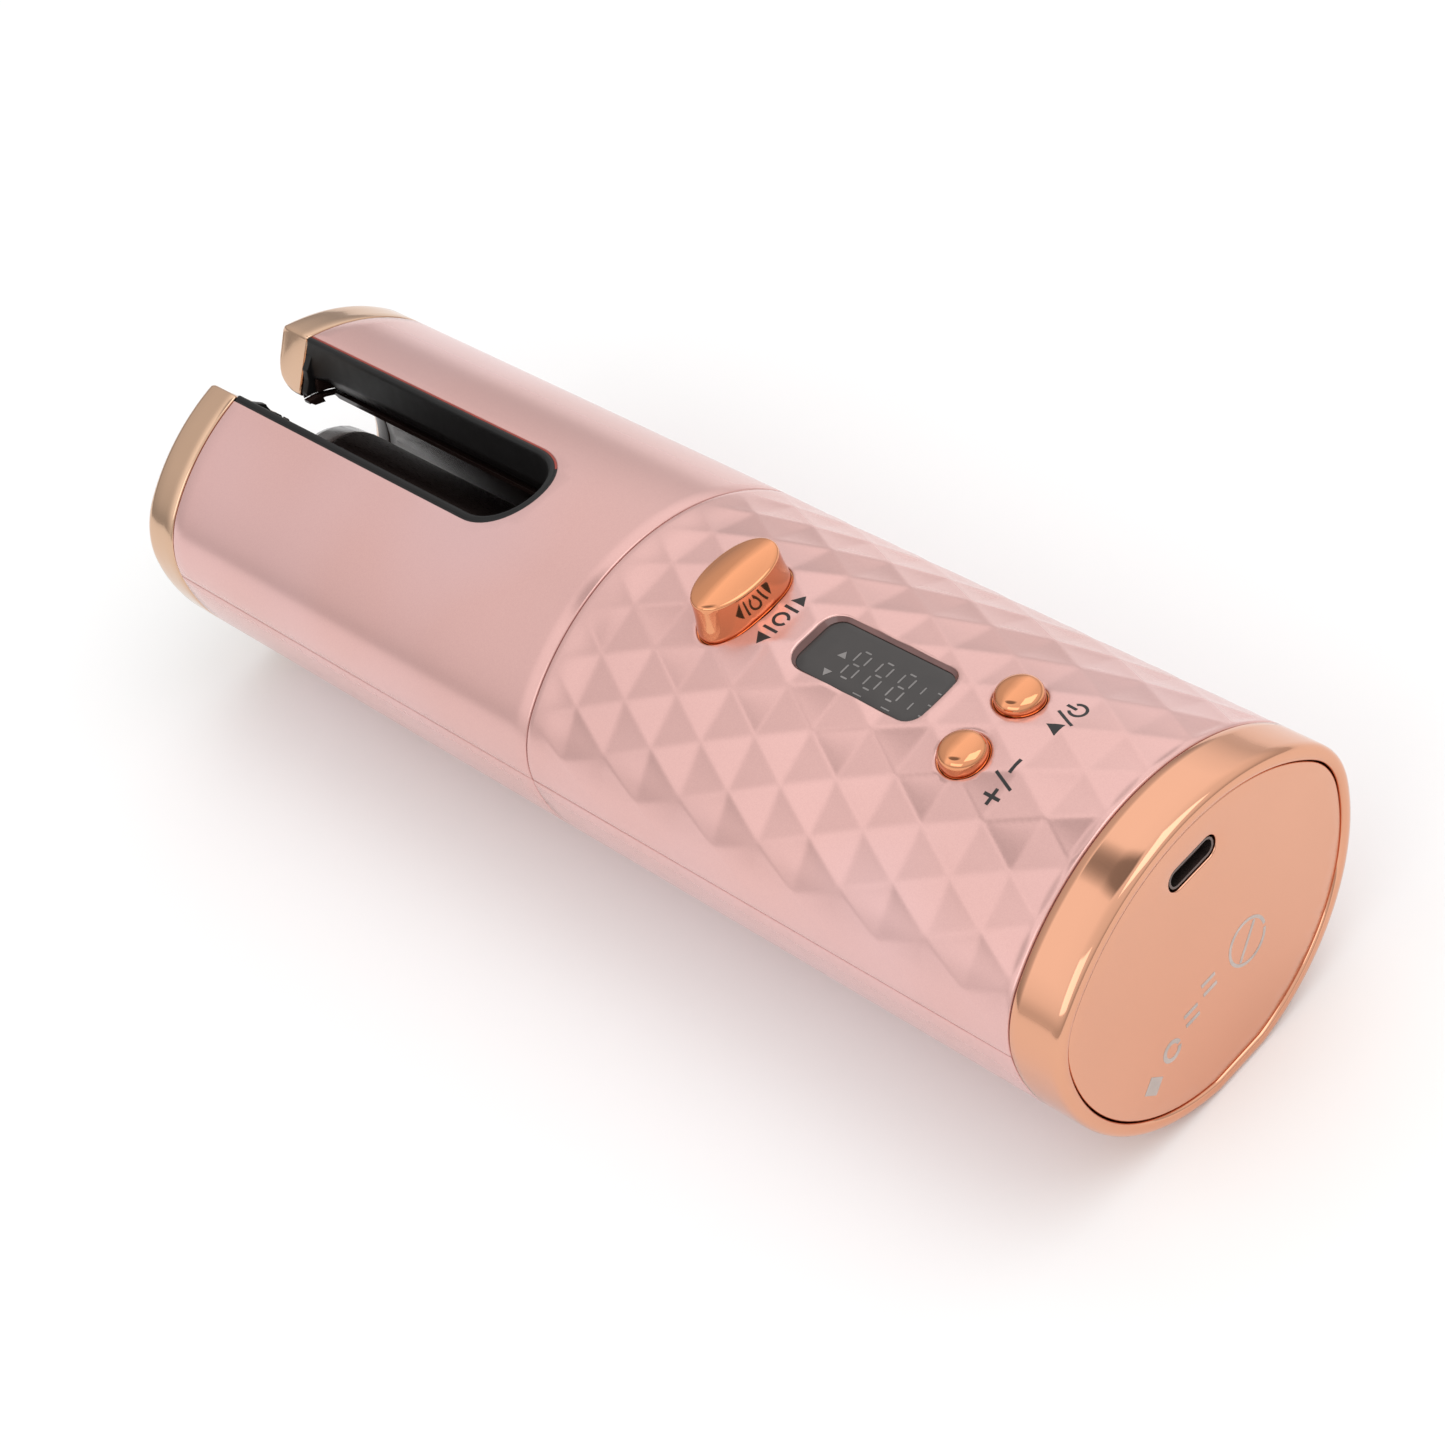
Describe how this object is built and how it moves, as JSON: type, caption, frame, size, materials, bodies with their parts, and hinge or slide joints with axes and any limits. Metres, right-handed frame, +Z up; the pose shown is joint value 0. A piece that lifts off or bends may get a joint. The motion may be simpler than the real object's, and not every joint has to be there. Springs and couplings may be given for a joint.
{
  "type": "curling iron",
  "caption": "Cordless oval hair curler with a slotted head, heated inner barrel, rotating winding sleeve, faceted handle, display and push buttons.",
  "frame": {"origin": "centre of the footprint, on the surface that the curler lies on", "axes": "+X along the body from the open tip to the charging end, +Z up through the buttons, away from the surface"},
  "size_m": [0.205, 0.064, 0.0607],
  "materials": {
    "pearl_pink": "satin pearl lacquer",
    "champagne_gold": "polished champagne-gold plating",
    "rose_gold": "polished rose-gold plating",
    "liner_black": "satin black",
    "chamber_brown": "glossy brown-black, heat resistant",
    "barrel_coating": "brown-black ceramic coating",
    "heat_block": "plain extruded",
    "smoked_lens": "smoked clear window",
    "steel": "plain",
    "brass": "plain",
    "board_green": "circuit board",
    "cell_blue": "sleeved battery cell",
    "white_nylon": "moulded",
    "black_nylon": "moulded",
    "ceramic": "unglazed"
  },
  "bodies": {
    "body": {"tip_ring": "champagne_gold", "head_front_shell": "pearl_pink", "head_back_shell": "pearl_pink", "slot_liner": "liner_black", "chamber_tube": "chamber_brown", "heating_barrel": "barrel_coating", "barrel_cap": "black_nylon", "barrel_base": "white_nylon", "ceramic_heater": "ceramic", "heater_clamp": "heat_block", "temperature_sensor": "brass", "thermal_fuse": "steel", "bulkhead": "white_nylon", "base_screw_upper": "steel", "base_screw_lower": "steel", "gearbox": "steel", "motor": "steel", "gearbox_screw_upper": "steel", "gearbox_screw_lower": "steel", "joint_ring": "pearl_pink", "handle_front_shell": "pearl_pink", "handle_back_shell": "pearl_pink", "start_switch": "black_nylon", "power_switch": "black_nylon", "temperature_switch": "black_nylon", "display_lens": "smoked_lens", "display_module": "ceramic", "main_board": "board_green", "board_screw_1": "steel", "board_screw_2": "steel", "board_screw_3": "steel", "board_screw_4": "steel", "battery_left": "cell_blue", "battery_right": "cell_blue", "battery_cradle": "black_nylon", "usb_board": "board_green", "usb_socket": "steel", "rear_band": "rose_gold", "end_plate": "rose_gold"},
    "rotor": {"wrap_rotor": "chamber_brown", "ring_gear": "white_nylon", "rotor_bush": "brass"},
    "pinion": {"drive_pinion": "steel"},
    "start_button": {"start_button": "rose_gold"},
    "power_button": {"power_button": "rose_gold"},
    "temperature_button": {"temperature_button": "rose_gold"}
  },
  "joints": [
    {"name": "rotor_spin", "type": "hinge", "parent": "body", "child": "rotor", "pos_m": [-0.0625, 0, 0.0291], "axis": [1, 0, 0], "continuous": true},
    {"name": "pinion_spin", "type": "hinge", "parent": "body", "child": "pinion", "pos_m": [-0.0205, 0.01865, 0.0291], "axis": [1, 0, 0], "continuous": true},
    {"name": "start_press", "type": "slide", "parent": "body", "child": "start_button", "axis": [0, 0, -1], "range_m": [0, 0.0012], "stiffness_N_per_m": 1500},
    {"name": "power_press", "type": "slide", "parent": "body", "child": "power_button", "axis": [0, 0, -1], "range_m": [0, 0.0006], "stiffness_N_per_m": 2000},
    {"name": "temperature_press", "type": "slide", "parent": "body", "child": "temperature_button", "axis": [0, 0, -1], "range_m": [0, 0.0006], "stiffness_N_per_m": 2000}
  ],
  "couplings": [
    {"joint": "pinion_spin", "follows": "rotor_spin", "ratio": -2.3636}
  ]
}
